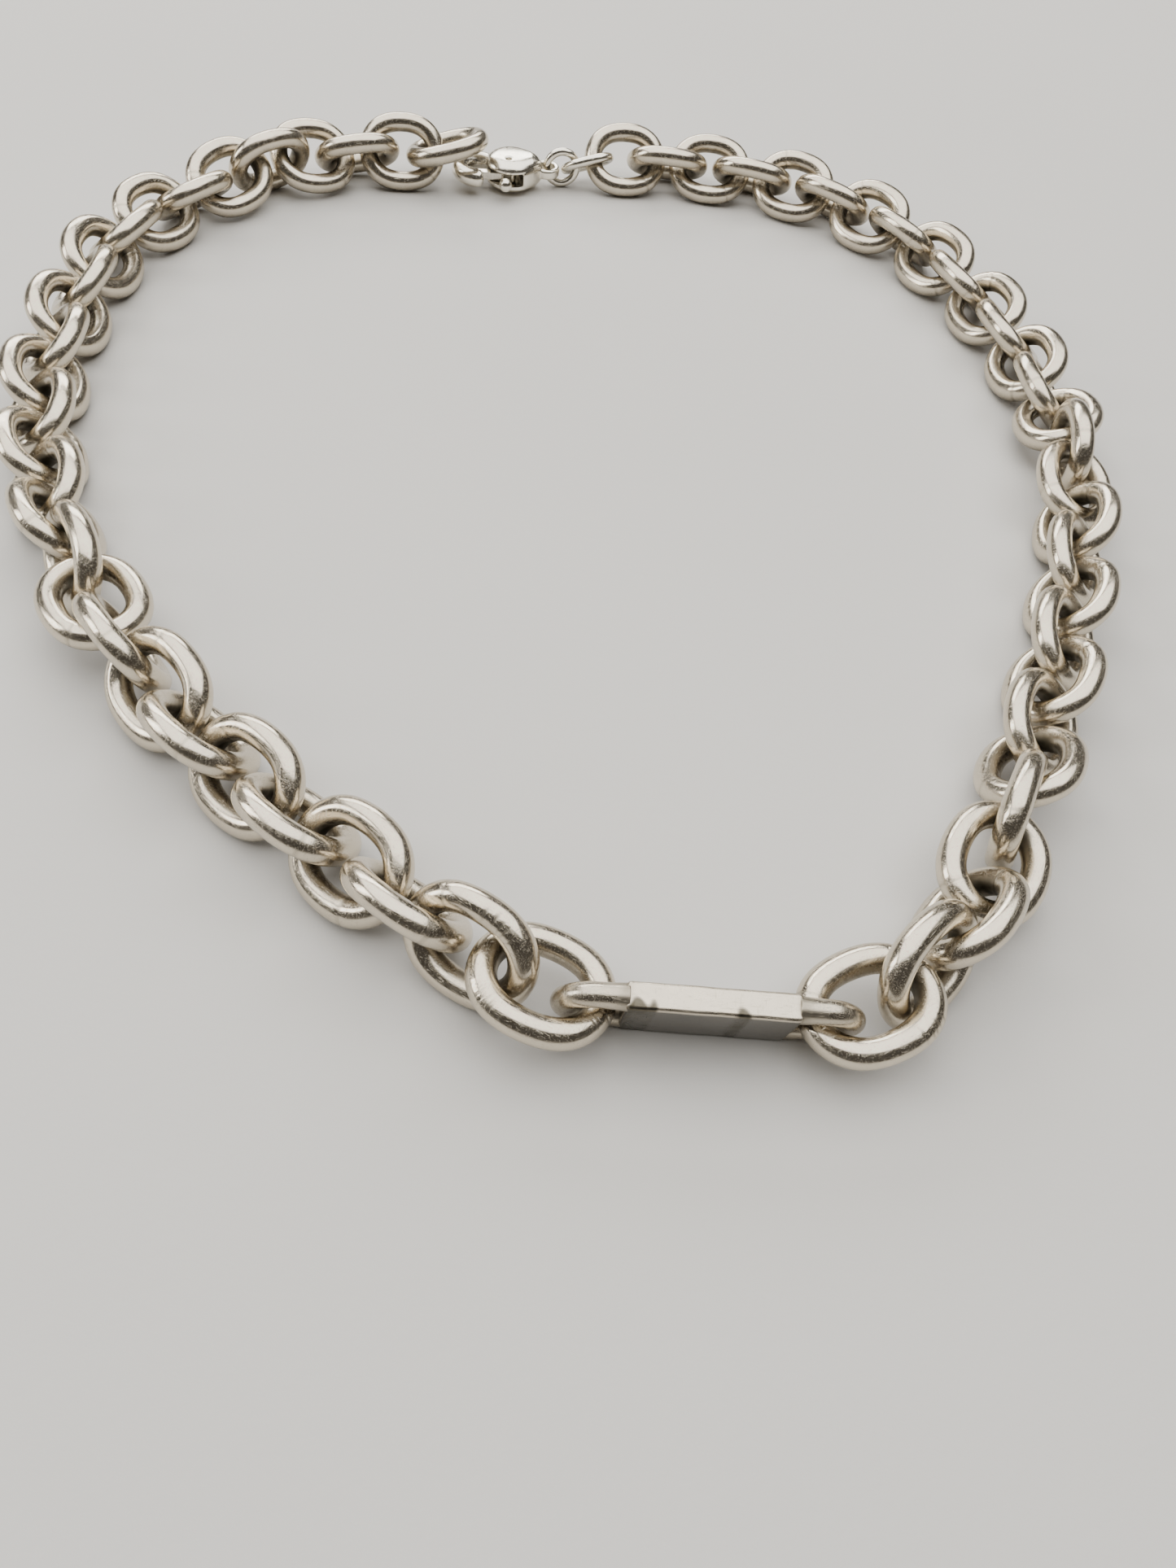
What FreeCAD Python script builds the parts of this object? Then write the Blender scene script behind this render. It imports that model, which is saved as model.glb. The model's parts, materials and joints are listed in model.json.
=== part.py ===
import FreeCAD, Part
import math
import os
from FreeCAD import Matrix, Vector

# A link necklace lying closed on a table: a heavy cable chain of round wire,
# an identity plate at the front and a lobster clasp at the back.
# Millimetres, +Z up. +X runs along the plate, +Y from the plate to the clasp.
# The origin is the centre of the underside of the whole necklace.

# Chain links: ovals of round wire
LINK_LENGTH = 13.3
LINK_WIDTH = 11.1
LINK_WIRE = 2.8
PLAY = 0.7  # air between two linked wires, at the middle of their contact
PITCH = LINK_LENGTH - 2 * LINK_WIRE - PLAY
LINK_HALF_SPAN = (LINK_WIDTH - LINK_WIRE) / 2  # centre of a link to the middle of its side
LINKS_PER_SIDE = 29
# Links that share one solid model with the next one, to keep the number of parts down
DOUBLED = {"left": (19, 22, 26), "right": (19, 23, 27)}

# How far each link is turned about its own length. At 0 it lies flat, and a
# positive turn lifts the side of the link nearest the middle of the necklace.
COMMON_TURN = 41
TURN_WANDER = 3  # hand-laid links are never turned quite alike
LEFT_TURNS = {1: -4, 2: 62, 3: -52, 9: -66, 10: 0, 11: 67, 12: -46,
              24: -38, 25: 66, 26: -42, 28: -57, 29: 12}
LEFT_FLIPS = (10,)  # links where the chain twists a quarter turn
RIGHT_TURNS = {1: -4, 2: 64, 3: -50, 4: 15, 5: 80, 6: -34, 12: -48,
               13: 19, 14: 86, 15: -27, 16: 43, 29: -46}
RIGHT_FLIPS = (4, 14)

# Where the chain lies, as points that its links pass through, from the plate to the clasp
LEFT_PATH = [(-17, 2), (-32, 12), (-49, 25.5), (-63, 41), (-73, 58), (-79.5, 77), (-81, 96),
             (-79, 115), (-70.2, 129.8), (-57.6, 140.6), (-42, 144.8), (-28, 146.2)]
RIGHT_PATH = [(17, 3), (25, 12.6), (29, 20), (37, 38), (44, 57), (48.5, 78), (48.5, 98),
              (43.5, 120), (33.5, 137), (18, 148.5), (0, 152), (-17, 149.5), (-30, 147)]

# Identity plate, standing on its long edge and leaning towards the front
PLATE_LENGTH = 14.7
PLATE_HEIGHT = 8.0
PLATE_THICKNESS = 2.5
PLATE_LEAN = 14
PLATE_EDGE_RADIUS = 0.45
LOOP_WIRE = 2.2
LOOP_HOLE_HEIGHT = 3.8
LOOP_REACH = 6.1  # from the plate's end to the outside of its end loop
LOOP_SINK = 0.3  # the loop's feet are let into the plate's end
LOOP_CONTACT = PLATE_LENGTH / 2 + LOOP_REACH - LOOP_WIRE - PLAY / 2  # where the first link hangs

# Small oval link and jump ring between the chain and the clasp
SMALL_LENGTH = 8.8
SMALL_WIDTH = 6.8
SMALL_WIRE = 1.4
SMALL_TURN = 34
RING_DIAMETER = 6.1
RING_WIRE = 1.2
RING_TURN = 90
SMALL_PITCH = SMALL_LENGTH - 2 * SMALL_WIRE - PLAY
# The clasp turns on the jump ring's own wire, so that contact is at the wire's middle
RING_PITCH = RING_DIAMETER - 1.5 * RING_WIRE - PLAY / 2

# Lobster clasp, in its own frame: x from the tail eye to the hook, z through its
# thickness, and the gate on the +y side. The origin is the centre of the tail eye.
EYE_RADIUS = 2.1
EYE_HOLE = 1.25
EYE_THICKNESS = 1.5
EYE_WIRE_X = 0  # where the jump ring's wire runs through the eye
BODY_TAIL_X = 3.0
BODY_TAIL_RADIUS = 2.4
BODY_FRONT_X = 5.8
BODY_FRONT_RADIUS = 4.1
BODY_THICKNESS = 4.2
BODY_ROUNDING = 1.7
HOOK_X = 11.0
HOOK_RADIUS = 2.9
HOOK_WIRE = 2.4
HOOK_TIP_ANGLE = 78
HOOK_ROOT_ANGLE = -150
PIN_X = 6.4
PIN_Y = 1.5
PIN_RADIUS = 0.5
PIN_LENGTH = 4.0
SLOT_HALF_HEIGHT = 0.95
SLOT_BACK_X = 4.3
SLOT_FRONT_X = 10.6
SLOT_FLOOR_Y = -1.3
LEVER_LOW = -0.8
LEVER_TOP = 0.35
LEVER_HUB_RADIUS = 1.25
LEVER_BORE = 0.56
GATE_TIP_X = 11.1
GATE_TIP_Y = 1.0
GATE_HALF_WIDTH = 0.6
KNOB_X = 7.3
KNOB_Y = 5.1
KNOB_RADIUS = 1.0
SPRING_WIRE = 0.3
SPRING_RADIUS = 0.82
SPRING_LOW = 0.42
SPRING_LEG = 1.5
SPRING_LEG_DIRECTION = Vector(-1, -0.2, 0)
CLASP_HEIGHT = 2.6  # the clasp's middle plane above the table
LAST_LINK_HEIGHT = 6.9  # the end of the left side's last link, which lies over the hook

UP = Vector(0, 0, 1)
SEARCH_STEPS = 400  # steps along a path when looking for the next contact


def torus_arc(bend, radius, start, sweep):
    """Part of a ring of round wire about the Z axis, from one angle round by another."""
    arc = Part.makeTorus(bend, radius, Vector(0, 0, 0), UP, 0, 360, sweep)
    arc.rotate(Vector(0, 0, 0), UP, start)
    return arc


def oval_ring(length, width, wire):
    """A ring of round wire bent to an oval, its length along X and its hole along Z."""
    bend = (width - wire) / 2
    straight = length - width
    ends = []
    for direction in (1, -1):
        centre = Vector(direction * straight / 2, 0, 0)
        half = torus_arc(bend, wire / 2, -90 * direction, 180)
        half.translate(centre)
        ends.append(half)
    sides = [Part.makeCylinder(wire / 2, straight, Vector(-straight / 2, side * bend, 0), Vector(1, 0, 0))
             for side in (1, -1)]
    return ends[0].fuse([ends[1]] + sides).removeSplitter()


def side_frame(start, end, turn, inner_sign):
    """Directions of a link's length, width and hole when it lies between two contacts."""
    along = (end - start).normalize()
    inner = along.cross(UP).normalize() * inner_sign
    raised = along.cross(inner) * -inner_sign
    angle = math.radians(turn)
    across = inner * math.cos(angle) + raised * math.sin(angle)
    return along, across, along.cross(across)


def laid(shape, start, end, turn, inner_sign):
    """A copy of a link placed with its middle halfway between two contacts."""
    along, across, hole = side_frame(start, end, turn, inner_sign)
    middle = (start + end) * 0.5
    return shape.transformed(Matrix(
        along.x, across.x, hole.x, middle.x,
        along.y, across.y, hole.y, middle.y,
        along.z, across.z, hole.z, middle.z,
        0, 0, 0, 1))


def turn_of(number, special, flips):
    """A link's turn: each is a quarter turn from the last, apart from the twisted ones."""
    if number in special:
        return special[number]
    flipped = sum(number > flip for flip in flips)
    sign = 1 if (number + flipped) % 2 == 0 else -1
    return sign * COMMON_TURN + TURN_WANDER * math.sin(2.4 * number)


def rest_height(turn):
    """Height of a link's centre when its lower side touches the table."""
    return LINK_HALF_SPAN * abs(math.sin(math.radians(turn))) + LINK_WIRE / 2


def walked(points, first, pitches):
    """Contacts along a smooth curve through the points, each one pitch from the last."""
    curve = Part.BSplineCurve()
    curve.interpolate([first] + [Vector(x, y, 0) for x, y in points])
    contacts = [first]
    at = curve.FirstParameter
    stride = (curve.LastParameter - at) / SEARCH_STEPS
    for pitch in pitches:
        low = high = at
        while (curve.value(high) - contacts[-1]).Length < pitch:
            high += stride
        while high - low > 1e-9:
            middle = (low + high) / 2
            if (curve.value(middle) - contacts[-1]).Length < pitch:
                low = middle
            else:
                high = middle
        at = high
        contacts.append(curve.value(at))
    return contacts


def plate_height():
    """Height of the leaning plate's centre, its lower edge on the table."""
    lean = math.radians(PLATE_LEAN)
    return (PLATE_HEIGHT * math.cos(lean) + PLATE_THICKNESS * math.sin(lean)) / 2


def raised_contacts(flat, turns, end_height):
    """Contacts lifted to where the links either side of them clear the table."""
    lifted = [Vector(flat[0].x, flat[0].y, plate_height())]
    for index in range(1, len(flat)):
        nearby = turns[index - 1:index + 1]
        lifted.append(Vector(flat[index].x, flat[index].y, max(rest_height(turn) for turn in nearby)))
    lifted[-1].z = max(lifted[-1].z, end_height)
    return lifted


def leaned(shape):
    """A part of the plate moved from its upright place to its leaning one."""
    shape.rotate(Vector(0, 0, 0), Vector(1, 0, 0), PLATE_LEAN)
    shape.translate(Vector(0, 0, plate_height()))
    return shape


def make_plate():
    blank = Part.makeBox(PLATE_LENGTH, PLATE_THICKNESS, PLATE_HEIGHT,
                         Vector(-PLATE_LENGTH / 2, -PLATE_THICKNESS / 2, -PLATE_HEIGHT / 2))
    blank = blank.makeFillet(PLATE_EDGE_RADIUS, blank.Edges)
    for side in (1, -1):
        blank = blank.cut(end_loop(side))
    return leaned(blank)


def end_loop(side):
    """A half ring of wire whose two feet meet the plate's end, upright and not yet leaned."""
    bend = (LOOP_HOLE_HEIGHT + LOOP_WIRE) / 2
    foot = LOOP_REACH - LOOP_WIRE / 2 - bend + LOOP_SINK
    bow = torus_arc(bend, LOOP_WIRE / 2, -90, 180)
    bow.rotate(Vector(0, 0, 0), Vector(1, 0, 0), 90)
    bow.translate(Vector(foot, 0, 0))
    feet = [Part.makeCylinder(LOOP_WIRE / 2, foot, Vector(0, 0, height), Vector(1, 0, 0))
            for height in (bend, -bend)]
    loop = bow.fuse(feet).removeSplitter()
    loop.translate(Vector(PLATE_LENGTH / 2 - LOOP_SINK, 0, 0))
    if side < 0:
        loop.rotate(Vector(0, 0, 0), UP, 180)
    return loop


def tapered_block():
    """The clasp's body: two circles joined by their common tangents, thick and well rounded."""
    spread = BODY_FRONT_X - BODY_TAIL_X
    lean = math.asin((BODY_FRONT_RADIUS - BODY_TAIL_RADIUS) / spread)
    tail, front = [
        [Vector(x - radius * math.sin(lean), side * radius * math.cos(lean), 0) for side in (1, -1)]
        for x, radius in ((BODY_TAIL_X, BODY_TAIL_RADIUS), (BODY_FRONT_X, BODY_FRONT_RADIUS))
    ]
    outline = Part.Wire([
        Part.LineSegment(tail[0], front[0]).toShape(),
        Part.Arc(front[0], Vector(BODY_FRONT_X + BODY_FRONT_RADIUS, 0, 0), front[1]).toShape(),
        Part.LineSegment(front[1], tail[1]).toShape(),
        Part.Arc(tail[1], Vector(BODY_TAIL_X - BODY_TAIL_RADIUS, 0, 0), tail[0]).toShape(),
    ])
    block = Part.Face(outline).extrude(Vector(0, 0, BODY_THICKNESS))
    block.translate(Vector(0, 0, -BODY_THICKNESS / 2))
    rims = [edge for edge in block.Edges if abs(edge.BoundBox.ZMax - edge.BoundBox.ZMin) < 1e-3]
    return block.makeFillet(BODY_ROUNDING, rims)


def hook():
    """The clasp's hook: a bow of round wire with a ball at its tip."""
    centre = Vector(HOOK_X, 0, 0)
    bow = torus_arc(HOOK_RADIUS, HOOK_WIRE / 2, HOOK_ROOT_ANGLE, HOOK_TIP_ANGLE - HOOK_ROOT_ANGLE)
    bow.translate(centre)
    tip = math.radians(HOOK_TIP_ANGLE)
    ball = Part.makeSphere(HOOK_WIRE / 2, centre + Vector(math.cos(tip), math.sin(tip), 0) * HOOK_RADIUS)
    return bow.fuse(ball)


def make_clasp_body():
    eye = Part.makeCylinder(EYE_RADIUS, EYE_THICKNESS, Vector(0, 0, -EYE_THICKNESS / 2))
    eye = eye.makeFillet(EYE_THICKNESS / 4, eye.Edges[:1] + eye.Edges[2:])
    body = tapered_block().fuse([eye, hook()])
    hole = Part.makeCylinder(EYE_HOLE, BODY_THICKNESS, Vector(0, 0, -BODY_THICKNESS / 2))
    room = Part.makeCylinder(HOOK_RADIUS - HOOK_WIRE / 2, BODY_THICKNESS,
                             Vector(HOOK_X, 0, -BODY_THICKNESS / 2))
    slot = Part.makeBox(SLOT_FRONT_X - SLOT_BACK_X, BODY_FRONT_RADIUS * 2, 2 * SLOT_HALF_HEIGHT,
                        Vector(SLOT_BACK_X, SLOT_FLOOR_Y, -SLOT_HALF_HEIGHT))
    bore = Part.makeCylinder(PIN_RADIUS, BODY_THICKNESS, Vector(PIN_X, PIN_Y, -BODY_THICKNESS / 2))
    return body.cut([hole, room, slot, bore])


def capsule(start, end, half_width, low, top):
    """A flat bar with round ends between two points."""
    along = (end - start).normalize()
    aside = Vector(-along.y, along.x, 0) * half_width
    outline = Part.Wire([
        Part.LineSegment(start + aside, end + aside).toShape(),
        Part.Arc(end + aside, end + along * half_width, end - aside).toShape(),
        Part.LineSegment(end - aside, start - aside).toShape(),
        Part.Arc(start - aside, start - along * half_width, start + aside).toShape(),
    ])
    bar = Part.Face(outline).extrude(Vector(0, 0, top - low))
    bar.translate(Vector(0, 0, low))
    return bar


def make_clasp_lever():
    thickness = LEVER_TOP - LEVER_LOW
    pivot = Vector(PIN_X, PIN_Y, 0)
    knob_centre = Vector(KNOB_X, KNOB_Y, 0)
    hub = Part.makeCylinder(LEVER_HUB_RADIUS, thickness, pivot + Vector(0, 0, LEVER_LOW))
    gate = capsule(pivot, Vector(GATE_TIP_X, GATE_TIP_Y, 0), GATE_HALF_WIDTH, LEVER_LOW, LEVER_TOP)
    stem = capsule(pivot, knob_centre, GATE_HALF_WIDTH, LEVER_LOW, LEVER_TOP)
    knob = Part.makeSphere(KNOB_RADIUS, knob_centre)
    bore = Part.makeCylinder(LEVER_BORE, thickness, pivot + Vector(0, 0, LEVER_LOW))
    return hub.fuse([gate, stem, knob]).cut(bore)


def make_clasp_pin():
    return Part.makeCylinder(PIN_RADIUS, PIN_LENGTH, Vector(PIN_X, PIN_Y, -PIN_LENGTH / 2))


def make_clasp_spring():
    """The lever's spring: a flat coil round the pin, with one leg against the slot's back."""
    middle = Vector(PIN_X, PIN_Y, SPRING_LOW + SPRING_WIRE / 2)
    coil = Part.makeTorus(SPRING_RADIUS, SPRING_WIRE / 2, middle, UP)
    leg = Part.makeCylinder(SPRING_WIRE / 2, SPRING_LEG, middle - Vector(0, SPRING_RADIUS, 0),
                            SPRING_LEG_DIRECTION)
    return coil.fuse(leg)


def clasp_placed(shape, eye_point, direction):
    """A part of the clasp moved to the necklace, its x axis pointing along the direction."""
    along = Vector(direction.x, direction.y, 0).normalize()
    across = UP.cross(along)
    origin = Vector(eye_point.x, eye_point.y, CLASP_HEIGHT) - along * EYE_WIRE_X
    return shape.transformed(Matrix(
        along.x, across.x, 0, origin.x,
        along.y, across.y, 0, origin.y,
        0, 0, 1, origin.z,
        0, 0, 0, 1))


def jump_ring(start, end):
    """A round ring standing on edge, its near wire at the clasp's eye."""
    along = (end - start).normalize()
    ring = Part.makeTorus((RING_DIAMETER - RING_WIRE) / 2, RING_WIRE / 2)
    centre = end - along * (RING_DIAMETER - RING_WIRE) / 2
    return laid(ring, centre, centre + along * 1e-3, RING_TURN, -1)


def chain(side, points, special, flips, inner_sign, end_height, extra_pitches):
    """One side of the chain: its points on the table, its contacts and each link's solids."""
    turns = [turn_of(number, special, flips) for number in range(1, LINKS_PER_SIDE + 1)]
    first = Vector(inner_sign * -LOOP_CONTACT, 0, 0)
    flat = walked(points, first, [PITCH] * LINKS_PER_SIDE + extra_pitches)
    contacts = raised_contacts(flat[:LINKS_PER_SIDE + 1], turns, end_height)
    solids = [laid(LINK, contacts[i], contacts[i + 1], turns[i], inner_sign)
              for i in range(LINKS_PER_SIDE)]
    nodes = {}
    number = 1
    while number <= LINKS_PER_SIDE:
        together = [number, number + 1] if number in DOUBLED[side] else [number]
        name = f"link_{side}_" + "_".join(f"{n:02d}" for n in together)
        nodes[name] = [solids[n - 1] for n in together]
        number += len(together)
    return flat, contacts, nodes


LINK = oval_ring(LINK_LENGTH, LINK_WIDTH, LINK_WIRE)

left_flat, left_contacts, left_nodes = chain(
    "left", LEFT_PATH, LEFT_TURNS, LEFT_FLIPS, 1, LAST_LINK_HEIGHT, [])
right_flat, right_contacts, right_nodes = chain(
    "right", RIGHT_PATH, RIGHT_TURNS, RIGHT_FLIPS, -1, 0, [SMALL_PITCH, RING_PITCH])

small_end, eye_end = [Vector(p.x, p.y, RING_DIAMETER / 2) for p in right_flat[-2:]]
small_start = right_contacts[-1]
clasp_direction = eye_end - small_end

nodes = {
    "plate": [make_plate()],
    "plate_end_loops": [leaned(end_loop(side)) for side in (-1, 1)],
    **left_nodes,
    **right_nodes,
    "small_link": [laid(oval_ring(SMALL_LENGTH, SMALL_WIDTH, SMALL_WIRE), small_start, small_end,
                        SMALL_TURN, -1)],
    "jump_ring": [jump_ring(small_end, eye_end)],
    "clasp_body": [clasp_placed(make_clasp_body(), eye_end, clasp_direction)],
    "clasp_lever": [clasp_placed(make_clasp_lever(), eye_end, clasp_direction)],
    "clasp_pin": [clasp_placed(make_clasp_pin(), eye_end, clasp_direction)],
    "clasp_spring": [clasp_placed(make_clasp_spring(), eye_end, clasp_direction)],
}

os.makedirs("parts", exist_ok=True)
bounds = FreeCAD.BoundBox()
for solids in nodes.values():
    for solid in solids:
        bounds.add(solid.optimalBoundingBox(False))
ORIGIN = Vector((bounds.XMin + bounds.XMax) / 2, (bounds.YMin + bounds.YMax) / 2, bounds.ZMin)
for name, solids in nodes.items():
    shape = solids[0] if len(solids) == 1 else Part.makeCompound(solids)
    shape.translate(-ORIGIN)
    shape.exportStep(f"parts/{name}.step")
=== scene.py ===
import json
import math
import random

import bmesh
import bpy
import numpy as np
from mathutils import Matrix, Vector


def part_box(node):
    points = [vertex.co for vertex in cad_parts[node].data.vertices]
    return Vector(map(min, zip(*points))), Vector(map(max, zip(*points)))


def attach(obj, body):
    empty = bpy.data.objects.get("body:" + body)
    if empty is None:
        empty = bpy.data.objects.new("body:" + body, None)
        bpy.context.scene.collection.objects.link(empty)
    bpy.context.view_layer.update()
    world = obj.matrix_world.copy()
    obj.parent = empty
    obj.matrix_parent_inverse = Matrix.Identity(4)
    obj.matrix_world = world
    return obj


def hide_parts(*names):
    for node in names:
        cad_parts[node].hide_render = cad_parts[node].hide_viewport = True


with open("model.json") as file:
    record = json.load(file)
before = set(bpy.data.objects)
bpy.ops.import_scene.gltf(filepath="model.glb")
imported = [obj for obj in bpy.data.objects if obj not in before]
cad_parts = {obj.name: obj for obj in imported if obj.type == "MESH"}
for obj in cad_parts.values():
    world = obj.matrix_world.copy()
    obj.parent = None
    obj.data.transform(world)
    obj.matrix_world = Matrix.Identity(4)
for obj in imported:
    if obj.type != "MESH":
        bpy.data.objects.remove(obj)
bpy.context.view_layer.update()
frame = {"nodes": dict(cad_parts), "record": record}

# A silver link necklace lying closed on a plain pale floor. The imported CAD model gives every
# place and size, and the pieces here are finer meshes of the same solids. Metres throughout.

MM = 0.001

# Camera: where the eye is above the necklace, how it looks down on it in degrees, and its lens
# in mm on a sensor of that height
CAMERA_AT = (-0.975 * MM, -121.869 * MM, 93.97 * MM)
CAMERA_PITCH = 52.3
CAMERA_YAW = 4.6
CAMERA_ROLL = -8.5
LENS = 27.0887
SENSOR = 36
NEAREST_SEEN = 5 * MM

# Wire meshes: steps round a link, and round the wire's own section
LINK_STEPS = 160
FRONT_LINK_STEPS = 420
SMALL_STEPS = 128
SECTION_STEPS = 28
FRONT_LINKS = ("link_left_01", "link_right_01", "link_left_02", "link_right_02")
OVAL_SQUARENESS = 2.2  # low for an ellipse, high for half circles and straights
UNDERSIDE_PAINTED_SHADE = 0.7  # how far painted shade darkens the wire's lower side
UNEVENNESS = ((2, 0.008), (3, 0.006), (7, 0.004))  # waves round a link, and how much thicker
SEAM_HALF = 0.12 * MM
SEAM_BEAD_AT = 0.5 * MM
SEAM_BEAD_WIDTH = 0.40 * MM
NICK_WIDTH = 0.10 * MM
LINK_SEED = 5

# The plate's end loops
LOOP_FOOT_STEPS = 30
LOOP_BOW_STEPS = 90
SOLDER_WIDTH = 0.9 * MM
SOLDER_SWELL = 0.07

# The plate's mesh in mm, and the marks on its top edge: place, width and depth, and for the painted
# dark reflections place, width and strength
PLATE_ROUNDING = 0.42 * MM
PLATE_CUTS = 130
PLATE_HOLLOW = 0.024  # how far the faces stay inside the CAD plate, for their waves
PLATE_TOP_DROP = 0.02
PLATE_TOP_BAND = 0.8
SATIN_BAND = 0.42
PLATE_DENTS = ((-6.2, 1.0, 0.08), (-4.4, 0.8, 0.03), (-1.4, 1.6, 0.025),
               (2.6, 1.0, 0.04), (6.6, 0.8, 0.08))
# Painted dark reflections on the top edge, strongest towards the front face.
PLATE_PAINTED_DARK_REFLECTIONS = ((-6.4, 0.75, 0.95), (-5.1, 0.45, 0.6), (2.3, 0.95, 0.62))

# The clasp in mm, from its eye: along the clasp, and towards its gate
CLASP_PIN_AT = (6.4, 1.5)
CLASP_SLOT_X = (4.0, 10.8)
CLASP_SLOT_Y = -1.6
CLASP_SLOT_HALF_HEIGHT = 1.2
CLASP_SWELL = 0.14
CLASP_DOME_X = 5.2
CLASP_DOME_HALF = (4.8, 4.3)
CLASP_DOME_RISE = 0.35
CLASP_TOP_Z = 1.4
BODY_VOXEL, BODY_SMOOTHING = 0.10 * MM, 22
LEVER_VOXEL, LEVER_SMOOTHING = 0.07 * MM, 5


def nodes_named(prefix):
    """The CAD nodes whose names start with the prefix."""
    return [name for name in frame["nodes"] if name.startswith(prefix)]


def body_with(node):
    """The body that a CAD node belongs to."""
    for body, members in frame["record"]["behaviour"]["bodies"].items():
        if node in members:
            return body
    raise KeyError(node)


# ---------------------------------------------------------------- materials

def new_material(name):
    """A new node material, its node tree and its shader."""
    material = bpy.data.materials.new(name)
    material.use_nodes = True
    tree = material.node_tree
    shader = tree.nodes["Principled BSDF"]
    return material, tree, shader


def noise(tree, coordinates, scale, detail, roughness, stretch=None, turn=None):
    """A noise texture's value, with its space stretched and turned if asked."""
    texture = tree.nodes.new("ShaderNodeTexNoise")
    texture.inputs["Scale"].default_value = scale
    texture.inputs["Detail"].default_value = detail
    texture.inputs["Roughness"].default_value = roughness
    if stretch:
        mapping = tree.nodes.new("ShaderNodeMapping")
        mapping.inputs["Scale"].default_value = stretch
        if turn:
            mapping.inputs["Rotation"].default_value = turn
        tree.links.new(coordinates, mapping.inputs["Vector"])
        coordinates = mapping.outputs["Vector"]
    tree.links.new(coordinates, texture.inputs["Vector"])
    return texture.outputs["Fac"]


def ramp(tree, value, low, high, from_value, to_value):
    """A value remapped between two levels, clamped."""
    node = tree.nodes.new("ShaderNodeMapRange")
    node.inputs["From Min"].default_value = low
    node.inputs["From Max"].default_value = high
    node.inputs["To Min"].default_value = from_value
    node.inputs["To Max"].default_value = to_value
    tree.links.new(value, node.inputs["Value"])
    return node.outputs["Result"]


def arithmetic(tree, operation, first, second):
    """A Math node's value, from two numbers or node outputs."""
    node = tree.nodes.new("ShaderNodeMath")
    node.operation = operation
    for socket, value in zip(node.inputs, (first, second)):
        if isinstance(value, (int, float)):
            socket.default_value = value
        else:
            tree.links.new(value, socket)
    return node.outputs["Value"]


def mixed_colour(tree, factor, first, second):
    """A colour between two colours or node outputs."""
    node = tree.nodes.new("ShaderNodeMix")
    node.data_type = "RGBA"
    tree.links.new(factor, node.inputs["Factor"])
    for socket, value in ((node.inputs[6], first), (node.inputs[7], second)):
        if isinstance(value, tuple):
            socket.default_value = (*value, 1)
        else:
            tree.links.new(value, socket)
    return node.outputs[2]


def bumped(tree, height, distance, strength, below=None):
    """A Bump node's normal, laid over another normal if given."""
    node = tree.nodes.new("ShaderNodeBump")
    node.inputs["Strength"].default_value = strength
    node.inputs["Distance"].default_value = distance
    tree.links.new(height, node.inputs["Height"])
    if below is not None:
        tree.links.new(below, node.inputs["Normal"])
    return node.outputs["Normal"]


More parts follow.
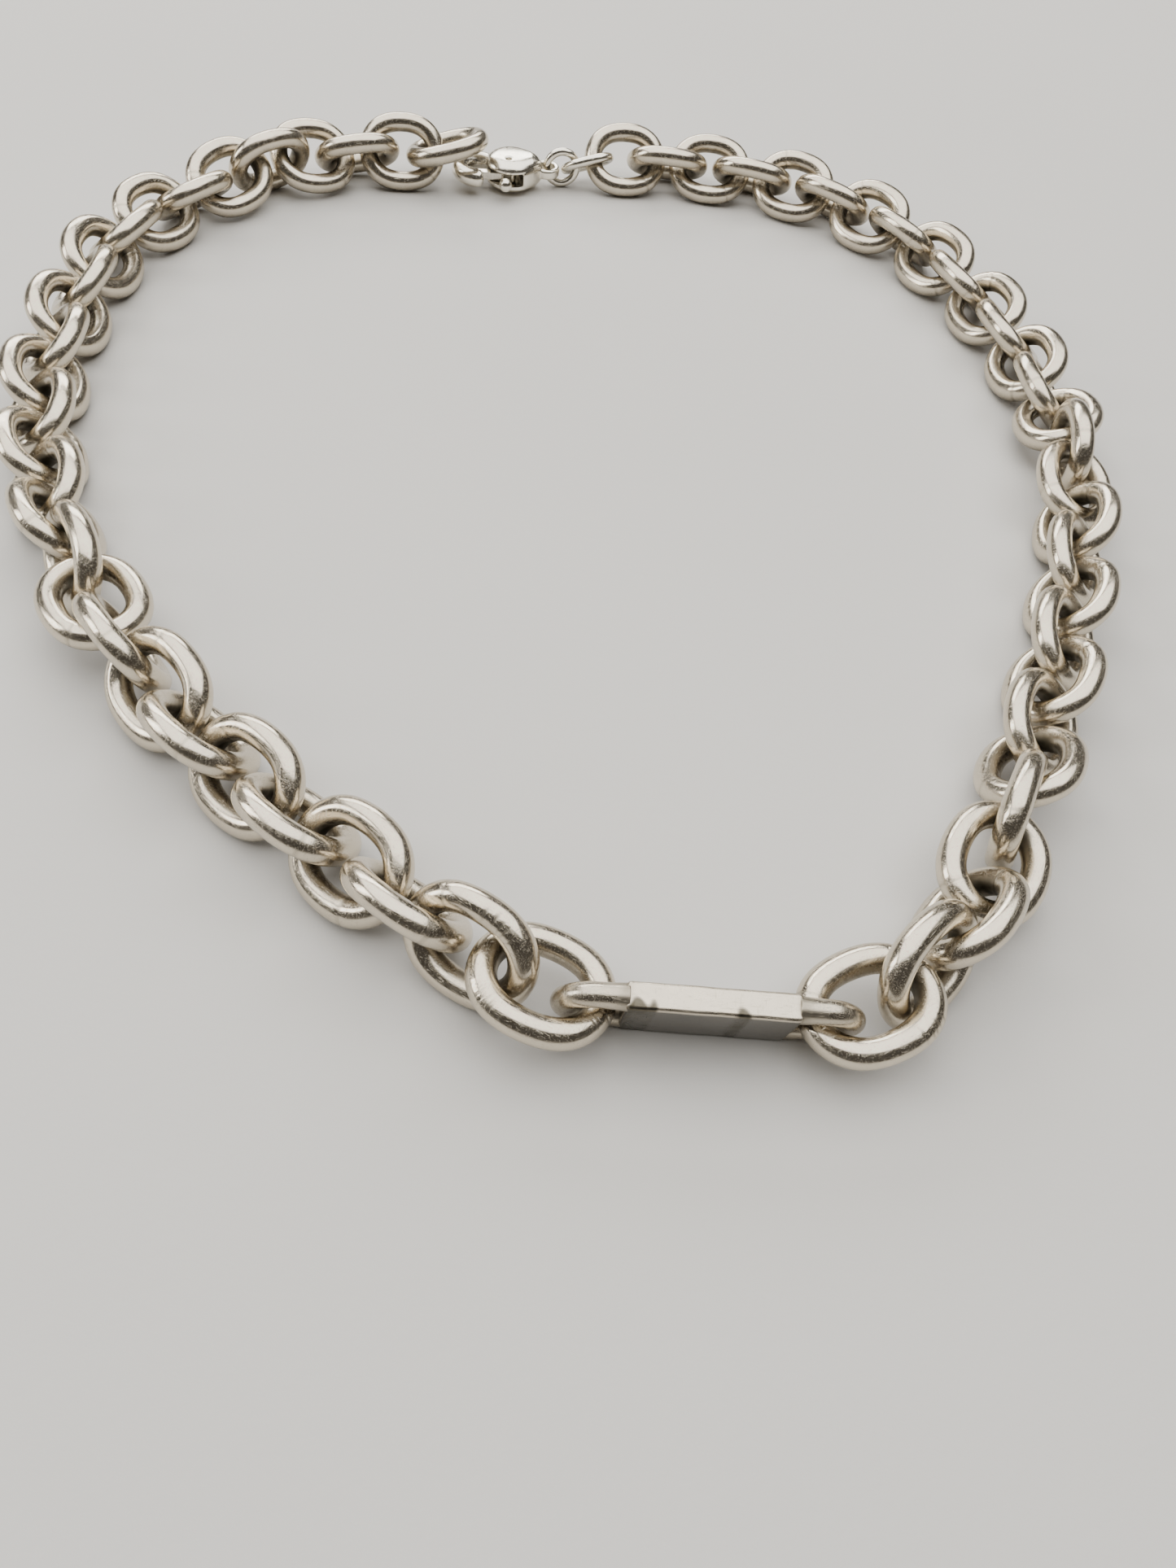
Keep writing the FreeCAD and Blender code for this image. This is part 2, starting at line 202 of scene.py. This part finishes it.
def silver(name, colour, tarnish_and_shade, roughness, scratch_depth, wobble_depth, satin_and_lit=None):
    """Polished silver: fine scratches in several directions, cloudy patches, dark tarnish and
    painted shade.

    Satin is the colour and added roughness of the parts a mesh marks as satin; it is also the
    lighter, lit colour against a painted dark reflection elsewhere."""
    material, tree, shader = new_material(name)
    shader.inputs["Metallic"].default_value = 1
    coordinates = tree.nodes.new("ShaderNodeTexCoord").outputs["Object"]

    cloud = noise(tree, coordinates, 260, 3, 0.55)
    patches = noise(tree, coordinates, 700, 4, 0.6)
    fine = noise(tree, coordinates, 5200, 2, 0.5)

    scratches = []
    for stretch, turn in (((700, 16000, 16000), (0.3, 0.5, 0.2)),
                          ((14000, 900, 14000), (0.7, 0.1, 0.9)),
                          ((12000, 12000, 800), (0.2, 0.8, 0.4))):
        lines = noise(tree, coordinates, 1, 2, 0.5, stretch, turn)
        scratches.append(ramp(tree, lines, 0.62, 0.74, 0, 1))
    scratched = arithmetic(tree, "MAXIMUM", arithmetic(tree, "MAXIMUM", scratches[0], scratches[1]),
                           scratches[2])

    base_rough = ramp(tree, patches, 0.35, 0.7, roughness[0], roughness[1])
    with_scratches = arithmetic(tree, "MULTIPLY_ADD", scratched, 0.12)
    tree.links.new(base_rough, with_scratches.node.inputs[2])

    # The stored mark darkens the colour towards the dark colour: real tarnish, and painted shade and
    # painted dark reflection where meshes mark them.
    attribute = tree.nodes.new("ShaderNodeAttribute")
    attribute.attribute_name = "tarnish_and_shade"
    blotched = ramp(tree, cloud, 0.3, 0.62, 0.35, 1.25)
    dark = arithmetic(tree, "MULTIPLY", attribute.outputs["Fac"], blotched)
    dark.node.use_clamp = True

    tinted = mixed_colour(tree, ramp(tree, cloud, 0.35, 0.68, 0, 1), colour,
                          tuple(0.93 * c for c in colour))
    rough = arithmetic(tree, "MULTIPLY_ADD", dark, 0.28)
    tree.links.new(with_scratches, rough.node.inputs[2])
    # Satin parts get the lighter silver; elsewhere the material's colour stays, on the plate a
    # painted dark reflection.
    if satin_and_lit:
        mask = tree.nodes.new("ShaderNodeAttribute")
        mask.attribute_name = "satin_and_lit"
        tinted = mixed_colour(tree, mask.outputs["Fac"], tinted, satin_and_lit[0])
        duller = arithmetic(tree, "MULTIPLY_ADD", mask.outputs["Fac"], satin_and_lit[1])
        tree.links.new(rough, duller.node.inputs[2])
        rough = duller
    final = mixed_colour(tree, dark, tinted, tarnish_and_shade)
    tree.links.new(final, shader.inputs["Base Color"])
    tree.links.new(rough, shader.inputs["Roughness"])

    wobble = bumped(tree, cloud, wobble_depth, 1)
    grain = bumped(tree, fine, scratch_depth * 0.35, 0.6, wobble)
    cut = arithmetic(tree, "SUBTRACT", 1, scratched)
    normal = bumped(tree, cut, scratch_depth, 0.7, grain)
    tree.links.new(normal, shader.inputs["Normal"])
    return material


SILVER = (0.68, 0.61, 0.495)
LOOP_TONE = tuple(0.82 * c for c in SILVER)
BRIGHT_SILVER = (0.92, 0.87, 0.76)
# Painted dark reflection: the plate's faces given a dark colour for the dark surroundings they
# mirror.
DARK_FACE_PAINTED_REFLECTION = (0.24, 0.22, 0.19)
# Dark colour of tarnish and of painted shade.
TARNISH_AND_SHADE = (0.10, 0.088, 0.062)
STEEL = (0.62, 0.61, 0.60)
STEEL_TARNISH = (0.2, 0.19, 0.17)
# Colour, tarnish and painted shade, roughness from and to, depth of the scratches and of the wobble
LINK_SILVER = silver("link_silver", SILVER, TARNISH_AND_SHADE, (0.13, 0.26), 0.000009, 0.000010)
LOOP_SILVER = silver("loop_silver", LOOP_TONE, TARNISH_AND_SHADE, (0.20, 0.32), 0.000012, 0.000012)
CLASP_SILVER = silver("clasp_silver", BRIGHT_SILVER, TARNISH_AND_SHADE, (0.14, 0.22), 0.000006, 0.000006)
# The plate's own colour is the painted dark reflection; its satin top keeps the silver colour.
PLATE_SILVER = silver("plate_silver", DARK_FACE_PAINTED_REFLECTION, TARNISH_AND_SHADE, (0.07, 0.14), 0.000008, 0.000014,
                      satin_and_lit=(SILVER, 0.19))
SPRING_STEEL = silver("spring_steel", STEEL, STEEL_TARNISH, (0.25, 0.35), 0.000008, 0.00002)


def floor_material():
    material, tree, shader = new_material("plain_floor")
    coordinates = tree.nodes.new("ShaderNodeTexCoord").outputs["Object"]
    grain = noise(tree, coordinates, 900, 4, 0.6)
    broad = noise(tree, coordinates, 14, 2, 0.5)
    colour = mixed_colour(tree, broad, (0.66, 0.645, 0.62), (0.70, 0.685, 0.66))
    tree.links.new(colour, shader.inputs["Base Color"])
    shader.inputs["Roughness"].default_value = 0.85
    tree.links.new(bumped(tree, grain, 0.00005, 0.5), shader.inputs["Normal"])
    return material


# ---------------------------------------------------------------- reading the CAD solids

def loose_parts(vertices, triangles):
    """Triangle lists of a mesh's separate pieces, ordered along Y."""
    rounded = {}
    canonical = np.empty(len(vertices), int)
    for index, key in enumerate(map(tuple, np.round(vertices / (0.001 * MM)).astype(int))):
        canonical[index] = rounded.setdefault(key, index)
    parent = list(range(len(vertices)))

    def root(index):
        while parent[index] != index:
            parent[index] = parent[parent[index]]
            index = parent[index]
        return index

    for a, b, c in canonical[triangles]:
        parent[root(b)] = root(a)
        parent[root(c)] = root(a)
    groups = {}
    for triangle in triangles:
        groups.setdefault(root(canonical[triangle[0]]), []).append(triangle)
    parts = [np.array(group) for group in groups.values()]
    parts.sort(key=lambda group: vertices[group].mean(axis=(0, 1))[1])
    return parts


def solids_of(node):
    """(vertices, list of triangle arrays) of a CAD node."""
    mesh = frame["nodes"][node].data
    mesh.calc_loop_triangles()
    vertices = np.array([v.co[:] for v in mesh.vertices])
    triangles = np.array([t.vertices[:] for t in mesh.loop_triangles])
    return vertices, loose_parts(vertices, triangles)


def placed_frame(vertices, triangles):
    """A solid's middle and main directions, longest first, from its surface, and its extents."""
    corners = vertices[triangles]
    sides = corners[:, 1] - corners[:, 0], corners[:, 2] - corners[:, 0]
    weights = np.linalg.norm(np.cross(*sides), axis=1)
    weights /= weights.sum()
    centres = corners.mean(axis=1)
    middle = (centres * weights[:, None]).sum(axis=0)
    offsets = corners - middle
    spread = np.einsum("t,tci,tcj->ij", weights, offsets, offsets) / 12
    summed = offsets.sum(axis=1)
    spread += np.einsum("t,ti,tj->ij", weights, summed, summed) / 12
    values, directions = np.linalg.eigh(spread)
    long, wide, thin = directions[:, 2], directions[:, 1], directions[:, 0]
    if long[0] < 0:
        long = -long
    if thin[2] < 0:
        thin = -thin
    wide = np.cross(thin, long)
    used = vertices[np.unique(triangles)] - middle
    sizes = [used @ axis for axis in (long, wide, thin)]
    middle = middle + sum(axis * (s.max() + s.min()) / 2
                          for axis, s in zip((long, wide, thin), sizes))
    extents = [s.max() - s.min() for s in sizes]
    return middle, (long, wide, thin), extents


def matrix_of(middle, axes):
    """The placement with its origin at the middle and its columns along the axes."""
    matrix = Matrix.Identity(4)
    for column, axis in enumerate(axes):
        for row in range(3):
            matrix[row][column] = axis[row]
    for row in range(3):
        matrix[row][3] = middle[row]
    return matrix


# ---------------------------------------------------------------- meshes

def mark(mesh, name, values):
    """Stores a value between 0 and 1 for each of a mesh's points."""
    layer = mesh.attributes.new(name, "FLOAT", "POINT")
    layer.data.foreach_set("value", np.clip(values, 0, 1).astype(np.float32))


def mesh_object(name, vertices, faces, tarnish_and_shade, material, matrix):
    """A smooth mesh object with its tarnish and painted shade stored on its points."""
    mesh = bpy.data.meshes.new(name)
    mesh.from_pydata([tuple(v) for v in vertices], [], faces)
    mesh.materials.append(material)
    mark(mesh, "tarnish_and_shade", tarnish_and_shade)
    mesh.shade_smooth()
    mesh.update()
    thing = bpy.data.objects.new(name, mesh)
    bpy.context.scene.collection.objects.link(thing)
    thing.matrix_world = matrix
    return thing


def tube_faces(rings, steps, closed):
    """The quads between rings of points, from the last ring back to the first if closed."""
    faces = []
    last = rings if closed else rings - 1
    for i in range(last):
        for j in range(steps):
            a = i * steps + j
            b = i * steps + (j + 1) % steps
            c = (i + 1) % rings * steps + (j + 1) % steps
            d = (i + 1) % rings * steps + j
            faces.append((a, b, c, d))
    return faces


def oval_at(progress, length, width, wire):
    """Points and outward directions of an oval's centre line, by share of the way round.

    It lies between an ellipse and two half circles joined by straights."""
    turn = 2 * np.pi * progress
    half_length, half_width = (length - wire) / 2, (width - wire) / 2
    straight = half_length - half_width
    squared = OVAL_SQUARENESS * np.cos(turn)
    lengthwise = half_width * np.cos(turn) + straight * np.tanh(squared) / np.tanh(OVAL_SQUARENESS)
    level = np.zeros_like(turn)
    points = np.stack((lengthwise, half_width * np.sin(turn), level), axis=1)
    bend = 1 / np.cosh(squared) ** 2 * OVAL_SQUARENESS / np.tanh(OVAL_SQUARENESS)
    run = half_width * np.sin(turn) + straight * bend * np.sin(turn)
    outward = np.stack((half_width * np.cos(turn), run, level), axis=1)
    return points, outward / np.linalg.norm(outward, axis=1)[:, None]


def bell(distance, width):
    """A smooth bump, 1 in the middle and falling away over the width."""
    return np.exp(-(distance / width) ** 2)


def link_wire(name, length, width, wire, matrix, material, seed, steps, marks=()):
    """A hand-bent oval of wire: slightly uneven, soldered shut and worn where it links."""
    dice = random.Random(seed)
    progress = np.arange(steps) / steps
    points, outward = oval_at(progress, length, width, wire)
    angles = 2 * np.pi * np.arange(SECTION_STEPS) / SECTION_STEPS
    round_way = 2 * np.pi * progress
    uneven = sum(amount * np.sin(waves * round_way + dice.uniform(0, 6.28))
                 for waves, amount in UNEVENNESS)
    flats = dice.uniform(0, 6.28)
    seam = dice.choice((0.36, 0.86)) + dice.uniform(-0.05, 0.05)
    gap = np.abs((progress - seam + 0.5) % 1 - 0.5) * (2 * length)
    ends = np.maximum(0, (np.abs(points[:, 0]) - 0.30 * length) / (0.12 * length)).clip(0, 1)
    inner = np.maximum(0, -np.cos(angles)) ** 2
    radius = np.full((steps, SECTION_STEPS), wire / 2)
    radius *= 1 + uneven[:, None] - 0.008
    winding = np.sin(3 * angles[None, :] + flats + 2 * round_way[:, None])
    radius *= 1 - 0.004 * np.maximum(0, winding) ** 2
    radius -= 0.020 * wire * ends[:, None] * inner[None, :]
    radius -= 0.004 * wire * bell(gap, SEAM_HALF)[:, None]
    radius += 0.005 * wire * bell(gap - SEAM_BEAD_AT, SEAM_BEAD_WIDTH)[:, None]
    tarnish_and_shade = 0.95 * ends[:, None] * inner[None, :] + 0.40 * inner[None, :] ** 2 + 0 * radius
    tarnish_and_shade += 0.30 * bell(gap, 0.14 * MM)[:, None]
    facing = np.array(matrix.to_3x3())
    world_up = (np.cos(angles)[None, :] * (outward @ facing[2])[:, None]
                + np.sin(angles)[None, :] * facing[2][2])
    # Painted shade: the wire's lower side darkened by how far it faces down.
    tarnish_and_shade += UNDERSIDE_PAINTED_SHADE * np.maximum(0, -world_up)
    total = 2 * (math.pi * (width - wire) / 2 + length - width)
    for place, spread, section, section_spread, depth in marks:
        across = np.abs((progress - place + 0.5) % 1 - 0.5) * total
        round_off = np.abs((angles - section + math.pi) % (2 * math.pi) - math.pi)
        dent = bell(across, spread)[:, None] * bell(round_off, section_spread)[None, :]
        radius -= depth * dent
        tarnish_and_shade += 0.5 * dent
    up = np.array([0, 0, 1.0])
    vertices = (points[:, None, :]
                + radius[:, :, None] * (np.cos(angles)[None, :, None] * outward[:, None, :]
                                        + np.sin(angles)[None, :, None] * up))
    faces = tube_faces(steps, SECTION_STEPS, True)
    faces = [face[::-1] for face in faces]
    return mesh_object(name, vertices.reshape(-1, 3), faces, tarnish_and_shade.reshape(-1), material, matrix)


def file_marks(count, start, pitch, section, dice):
    """A run of short nicks across the wire: place, width, place and width round it, depth."""
    return [(start + index * pitch + dice.uniform(-0.2, 0.2) * pitch, NICK_WIDTH,
             section + dice.uniform(-0.25, 0.25), dice.uniform(0.25, 0.5),
             dice.uniform(0.02, 0.04) * MM)
            for index in range(count)]


def add_links():
    """One uneven wire oval for each link, two where a CAD node holds a pair of links."""
    dice = random.Random(LINK_SEED)
    special = {
        "link_right_01": (file_marks(9, 0.03, 0.014, 0.9, dice)
                          + file_marks(5, 0.80, 0.016, 0.7, dice)),
        "link_left_01": (file_marks(12, 0.60, 0.007, 0.8, dice)
                         + file_marks(4, 0.93, 0.02, 1.0, dice)),
        "link_left_02": file_marks(5, 0.15, 0.02, 1.2, dice),
        "link_right_02": file_marks(5, 0.65, 0.02, 1.2, dice),
    }
    for node in nodes_named("link_"):
        vertices, parts = solids_of(node)
        for index, triangles in enumerate(parts):
            middle, axes, (length, width, wire) = placed_frame(vertices, triangles)
            name = f"{node}_wire" if len(parts) == 1 else f"{node}_wire_{'ab'[index]}"
            steps = FRONT_LINK_STEPS if node in FRONT_LINKS else LINK_STEPS
            wire_piece = link_wire(name, length, width, wire, matrix_of(middle, axes),
                                   LINK_SILVER, name, steps, special.get(node, ()))
            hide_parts(node)
            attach(wire_piece, body_with(node))


def add_small_rings():
    """The small link and the jump ring, in the clasp's brighter silver."""
    for node in ("small_link", "jump_ring"):
        vertices, parts = solids_of(node)
        middle, axes, (length, width, wire) = placed_frame(vertices, parts[0])
        length = max(length, width)
        ring = link_wire(f"{node}_wire", length, width, wire, matrix_of(middle, axes), CLASP_SILVER,
                         node, SMALL_STEPS)
        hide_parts(node)
        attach(ring, body_with(node))


def dress(node, material):
    """Gives a CAD node a material of its own."""
    thing = frame["nodes"][node]
    if thing.data.materials:
        thing.data.materials[0] = material
    else:
        thing.data.materials.append(material)


def remeshed(node, name, material, voxel, smoothing, body, reshape=None):
    """A finer copy of a CAD node with its hard edges softened, as cast and polished metal."""
    mesh = frame["nodes"][node].data.copy()
    mesh.name = name
    thing = bpy.data.objects.new(name, mesh)
    bpy.context.scene.collection.objects.link(thing)
    middle = sum((Vector(corner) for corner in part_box(node)), Vector()) / 2
    mesh.transform(Matrix.Translation(-middle))
    thing.location = middle
    remesh = thing.modifiers.new("remesh", "REMESH")
    remesh.mode = "VOXEL"
    remesh.voxel_size = voxel
    smooth = thing.modifiers.new("smooth", "SMOOTH")
    smooth.factor = 0.5
    smooth.iterations = smoothing
    bpy.context.view_layer.update()
    evaluated = thing.evaluated_get(bpy.context.evaluated_depsgraph_get())
    done = bpy.data.meshes.new_from_object(evaluated)
    thing.modifiers.clear()
    thing.data = done
    done.name = name
    done.materials.clear()
    done.materials.append(material)
    points = np.array([v.co[:] for v in done.vertices])
    normals = np.array([v.normal[:] for v in done.vertices])
    if reshape:
        points = reshape(points + np.array(middle), normals) - np.array(middle)
        done.vertices.foreach_set("co", points.astype(np.float32).ravel())
        done.update()
    reach = np.linalg.norm(points, axis=1)
    inward = -(points * normals).sum(axis=1) / np.maximum(reach, 1e-9)
    # Darker where the surface faces in towards the piece's middle.
    mark(done, "tarnish_and_shade", 0.35 * inward)
    done.shade_smooth()
    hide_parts(node)
    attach(thing, body)
    return thing


def rounded_slab(half, radius, cuts):
    """Points and faces of a box with round edges, its points closest together near the edges."""
    grid = bmesh.new()
    bmesh.ops.create_cube(grid, size=2)
    bmesh.ops.subdivide_edges(grid, edges=grid.edges[:], cuts=cuts, use_grid_fill=True)
    points = np.array([v.co[:] for v in grid.verts])
    faces = [[v.index for v in face.verts] for face in grid.faces]
    grid.free()
    points = half * np.sin(points * math.pi / 2)
    core = points.clip(radius - half, half - radius)
    offset = points - core
    return core + radius * offset / np.linalg.norm(offset, axis=1)[:, None], faces


def add_plate():
    """The plate: a slab with soft, slightly uneven faces in a painted dark reflection, its top edge
    left satin and in the lighter silver.
    """
    vertices, parts = solids_of("plate")
    middle, (long, tall, thin), (length, height, thickness) = placed_frame(vertices, parts[0])
    if tall[2] < 0:
        tall = -tall
    back = np.cross(tall, long)
    half = np.array([length, thickness, height]) / 2
    points, faces = rounded_slab(half, PLATE_ROUNDING, PLATE_CUTS)
    x, y, z = (points / MM).T
    half_length, half_thickness, half_height = half / MM
    wave = 0.014 * np.sin(0.9 * x + 0.4) * np.sin(0.8 * z + 1) + 0.008 * np.sin(1.7 * x + 1.1 * z)
    points[:, 1] += (wave - PLATE_HOLLOW) * (y / half_thickness) * MM
    near_top = ((z - half_height + PLATE_TOP_BAND) / PLATE_TOP_BAND).clip(0, 1) ** 2
    dents = sum(depth * bell(x - place, width) for place, width, depth in PLATE_DENTS)
    points[:, 2] -= near_top * (dents + PLATE_TOP_DROP + 0.012 * np.sin(1.6 * x)) * MM
    # Satin top band: satin finish, and the lighter lit colour against the painted dark faces.
    satin_and_lit = ((z - half_height + SATIN_BAND) / 0.3).clip(0, 1)
    front = (0.25 - y / half_thickness).clip(0, 1)
    ragged = 0.08 * np.sin(4.5 * x + 3 * y)
    # Painted dark reflections: they take the satin colour away and darken the top edge, most towards
    # the front.
    patches = sum(strength * bell(x - place, width) for place, width, strength in PLATE_PAINTED_DARK_REFLECTIONS)
    patches = ((patches * front * 1.3 + ragged - 0.38) / 0.30).clip(0, 1)
    satin_and_lit = satin_and_lit * (1 - patches)
    ends = ((np.abs(x) - half_length + 0.7) / 0.7).clip(0, 1)
    low_edge = ((-z - half_height + 0.9) / 0.9).clip(0, 1)
    # Darker at the ends and towards the lower edge, and in the painted dark reflections.
    tarnish_and_shade = 0.4 * ends + 0.35 * low_edge + 0.75 * patches
    slab = mesh_object("plate_slab", points, faces, tarnish_and_shade, PLATE_SILVER,
                       matrix_of(middle, (long, back, tall)))
    mark(slab.data, "satin_and_lit", satin_and_lit)
    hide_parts("plate")
    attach(slab, "plate")


def add_end_loops():
    """The plate's two half rings of wire, each swelling a little where it is soldered on."""
    plate_middle = sum((Vector(corner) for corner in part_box("plate")), Vector()) / 2
    vertices, parts = solids_of("plate_end_loops")
    for triangles in parts:
        middle, (tall, away, thin), (height, reach, wire) = placed_frame(vertices, triangles)
        side = "left" if middle[0] < plate_middle.x else "right"
        if tall[2] < 0:
            tall = -tall
        if (away[0] > 0) != (side == "right"):
            away = -away
        bend = (height - wire) / 2
        foot = reach - wire / 2 - bend
        along = np.linspace(0, foot, LOOP_FOOT_STEPS)
        turn = np.linspace(math.pi / 2, -math.pi / 2, LOOP_BOW_STEPS)[1:-1]
        level = np.zeros_like(along)
        upper = np.stack((along, level + bend, level), axis=1)
        bow = np.stack((foot + bend * np.cos(turn), bend * np.sin(turn), 0 * turn), axis=1)
        points = np.concatenate((upper, bow, upper[::-1] * (1, -1, 1)))
        outward = np.concatenate((np.tile((0, 1, 0), (len(along), 1)),
                                  np.stack((np.cos(turn), np.sin(turn), 0 * turn), axis=1),
                                  np.tile((0, -1, 0), (len(along), 1))))
        angles = 2 * np.pi * np.arange(SECTION_STEPS) / SECTION_STEPS
        inner = np.maximum(0, -np.cos(angles)) ** 2
        soldered = bell(points[:, 0], SOLDER_WIDTH)
        bowed = (points[:, 0] / reach).clip(0, 1) ** 2
        uneven = 0.008 * np.sin(points[:, 0] / MM * 2.1)
        radius = wire / 2 * (1 + SOLDER_SWELL * soldered + uneven)[:, None]
        radius = radius - 0.02 * wire * bowed[:, None] * inner[None, :]
        points[:, 0] -= reach / 2
        normal = np.array([0, 0, 1.0])
        surface = (points[:, None, :] + radius[:, :, None]
                   * (np.cos(angles)[None, :, None] * outward[:, None, :]
                      + np.sin(angles)[None, :, None] * normal))
        tarnish_and_shade = 0.45 * soldered[:, None] + 0.55 * bowed[:, None] * inner[None, :]
        faces = tube_faces(len(points), SECTION_STEPS, False)
        first_ring = tuple(range(SECTION_STEPS))
        faces.append(first_ring[::-1])
        faces.append(tuple(index + (len(points) - 1) * SECTION_STEPS for index in first_ring))
        loop = mesh_object(f"plate_end_loop_{side}", surface.reshape(-1, 3), faces,
                           tarnish_and_shade.reshape(-1), LOOP_SILVER,
                           matrix_of(middle, (away, tall, np.cross(away, tall))))
        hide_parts("plate_end_loops")
        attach(loop, "plate")


def joint_place(name):
    """A joint's place in the frame's record."""
    return next(np.array(joint["pos_m"]) for joint in frame["record"]["behaviour"]["joints"]
                if joint["name"] == name)


def add_clasp():
    """The clasp: a smooth cast body and lever, fuller over its back than a flat-sided block."""
    eye = joint_place("hinge_clasp")
    to_pin = joint_place("hinge_lever") - eye
    heading = math.atan2(to_pin[1], to_pin[0]) - math.atan2(CLASP_PIN_AT[1], CLASP_PIN_AT[0])
    along = np.array([math.cos(heading), math.sin(heading), 0])
    across = np.array([-along[1], along[0], 0])

    def fuller(points, normals):
        x, y, z = ((points - eye) @ np.stack((along, across, (0, 0, 1)), axis=1) / MM).T
        inside_slot = ((np.abs(z) < CLASP_SLOT_HALF_HEIGHT) & (y > CLASP_SLOT_Y)
                       & (x > CLASP_SLOT_X[0]) & (x < CLASP_SLOT_X[1]))
        past_eye = ((x - 1.4) / 1.2).clip(0, 1)
        swell = np.where(inside_slot, 0, CLASP_SWELL * past_eye)
        off_dome = ((x - CLASP_DOME_X) / CLASP_DOME_HALF[0]) ** 2 + (y / CLASP_DOME_HALF[1]) ** 2
        rise = CLASP_DOME_RISE * np.maximum(0, 1 - off_dome) ** 1.5
        points = points + normals * (swell * MM)[:, None]
        points[:, 2] += np.where(z > CLASP_TOP_Z, rise, 0) * MM
        return points

    body = remeshed("clasp_body", "clasp_body_cast", CLASP_SILVER, BODY_VOXEL, BODY_SMOOTHING,
                    "clasp", fuller)
    lever = remeshed("clasp_lever", "clasp_lever_cast", CLASP_SILVER, LEVER_VOXEL,
                     LEVER_SMOOTHING, "clasp_lever")
    dress("clasp_pin", SPRING_STEEL)
    dress("clasp_spring", SPRING_STEEL)


# ---------------------------------------------------------------- stage, light and camera

def add_floor():
    """A plain pale floor under the necklace."""
    bpy.ops.mesh.primitive_plane_add(size=6)
    floor = bpy.context.object
    floor.name = "floor"
    floor.data.materials.append(floor_material())


def add_light(name, at, size, power, colour):
    """A rectangular lamp that faces the necklace."""
    data = bpy.data.lights.new(name, "AREA")
    data.shape = "RECTANGLE"
    data.size, data.size_y = size
    data.energy = power
    data.color = colour
    light = bpy.data.objects.new(name, data)
    bpy.context.scene.collection.objects.link(light)
    light.location = at
    light.rotation_euler = (-Vector(at)).to_track_quat("-Z", "Y").to_euler()


def add_world():
    """A faint even surround."""
    world = bpy.data.worlds.new("studio")
    bpy.context.scene.world = world
    world.use_nodes = True
    background = world.node_tree.nodes["Background"]
    background.inputs["Color"].default_value = (0.50, 0.47, 0.43, 1)
    background.inputs["Strength"].default_value = 0.16


def add_lights():
    """A large softbox overhead, and two smaller ones behind and to the left."""
    add_light("overhead", (0.0, 0.20, 1.05), (2.0, 1.5), 28, (1, 0.985, 0.95))
    add_light("window_back", (-0.30, 1.15, 0.62), (1.00, 0.40), 9, (1, 0.985, 0.95))
    add_light("window_left", (-1.05, -0.05, 0.50), (0.40, 0.6), 5, (1, 0.98, 0.94))


def add_camera():
    """The camera, at the photo's viewing angle."""
    pitch, yaw, roll = (math.radians(angle) for angle in (CAMERA_PITCH, CAMERA_YAW, CAMERA_ROLL))
    right = Vector((math.cos(yaw), -math.sin(yaw), 0))
    level = Vector((math.sin(yaw), math.cos(yaw), 0))
    ahead = level * math.cos(pitch) - Vector((0, 0, math.sin(pitch)))
    down = -level * math.sin(pitch) - Vector((0, 0, math.cos(pitch)))
    across = right * math.cos(roll) + down * math.sin(roll)
    up = right * math.sin(roll) - down * math.cos(roll)
    camera = bpy.data.objects.new("camera", bpy.data.cameras.new("camera"))
    bpy.context.scene.collection.objects.link(camera)
    camera.matrix_world = matrix_of(CAMERA_AT, (across, up, -ahead))
    camera.data.sensor_width = SENSOR
    camera.data.lens = LENS
    camera.data.clip_start = NEAREST_SEEN
    bpy.context.scene.camera = camera


add_links()
add_small_rings()
add_plate()
add_end_loops()
add_clasp()
add_floor()
add_world()
add_lights()
add_camera()
